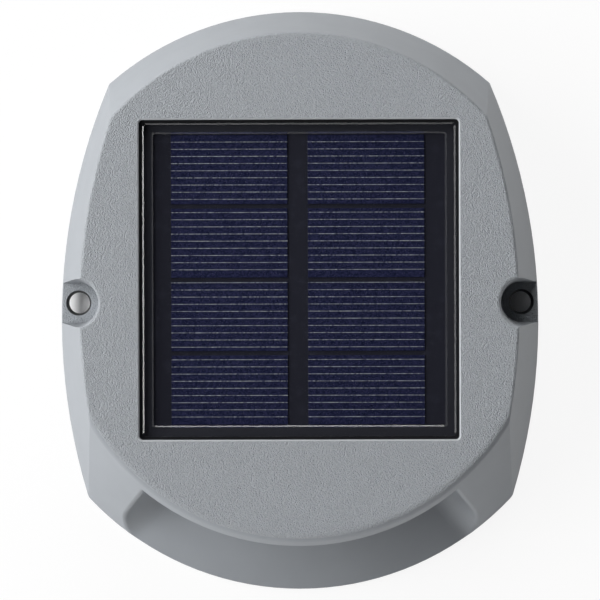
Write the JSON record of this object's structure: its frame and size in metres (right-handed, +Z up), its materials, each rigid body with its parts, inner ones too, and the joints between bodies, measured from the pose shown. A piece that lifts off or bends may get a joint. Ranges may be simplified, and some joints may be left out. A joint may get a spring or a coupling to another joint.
{
  "type": "solar dock light",
  "caption": "Low grey solar deck light: square solar window on top, hooded lamp recess at the front, a screw pocket at each side and a push button underneath",
  "frame": {"origin": "under the middle of the foot, on the surface that the light stands on", "axes": "+Z up, the lamp faces -Y, +X to the right seen from above with the lamp at the bottom"},
  "size_m": [0.1208, 0.1464, 0.034],
  "materials": {
    "grey_housing": "fine moulded grain on the top, smooth matte walls",
    "clear_cover": "clear, polished",
    "clear_lens": "clear, polished",
    "black_rubber": "matte",
    "panel_board": "black solder mask",
    "silicon": "dark blue, with fine silver lines",
    "white_reflector": "bright white",
    "lamp_board": "white solder mask",
    "lamp_package": "yellow phosphor in a white package",
    "steel": "stainless",
    "grey_base": "matte",
    "green_board": "green solder mask",
    "black_chip": "matte",
    "ferrite": "matte",
    "can": "bare",
    "nylon": "natural",
    "black_plastic": "satin",
    "button_grey": "satin",
    "cell_sleeve": "shrink sleeve",
    "spring_metal": "nickel plated",
    "red_wire": "wire insulation",
    "black_wire": "wire insulation"
  },
  "bodies": {
    "body": {"housing": "grey_housing", "solar_window": "clear_cover", "window_gasket": "black_rubber", "solar_board": "panel_board", "solar_cells": "silicon", "light_lens": "clear_lens", "lens_gasket": "black_rubber", "led_reflector": "white_reflector", "led_board": "lamp_board", "led_emitters": "lamp_package", "led_screws": "steel", "base_plate": "grey_base", "base_seal": "black_rubber", "base_screws": "steel", "circuit_board": "green_board", "board_screws": "steel", "control_chip": "black_chip", "power_inductor": "ferrite", "capacitors": "can", "wire_headers": "nylon", "switch_body": "black_plastic", "battery_cell": "cell_sleeve", "battery_holder": "black_plastic", "positive_contact": "spring_metal", "negative_contact": "spring_metal", "holder_screws": "steel", "solar_lead_minus": "black_wire", "solar_lead_plus": "red_wire", "led_lead_minus": "black_wire", "led_lead_plus": "red_wire", "battery_lead_plus": "red_wire", "battery_lead_minus": "black_wire"},
    "button": {"power_button": "button_grey", "button_seal": "black_rubber", "switch_plunger": "black_plastic"}
  },
  "joints": [
    {"name": "power_button_press", "type": "slide", "parent": "body", "child": "button", "axis": [0, 0, 1], "range_m": [0, 0.001], "stiffness_N_per_m": 800}
  ]
}
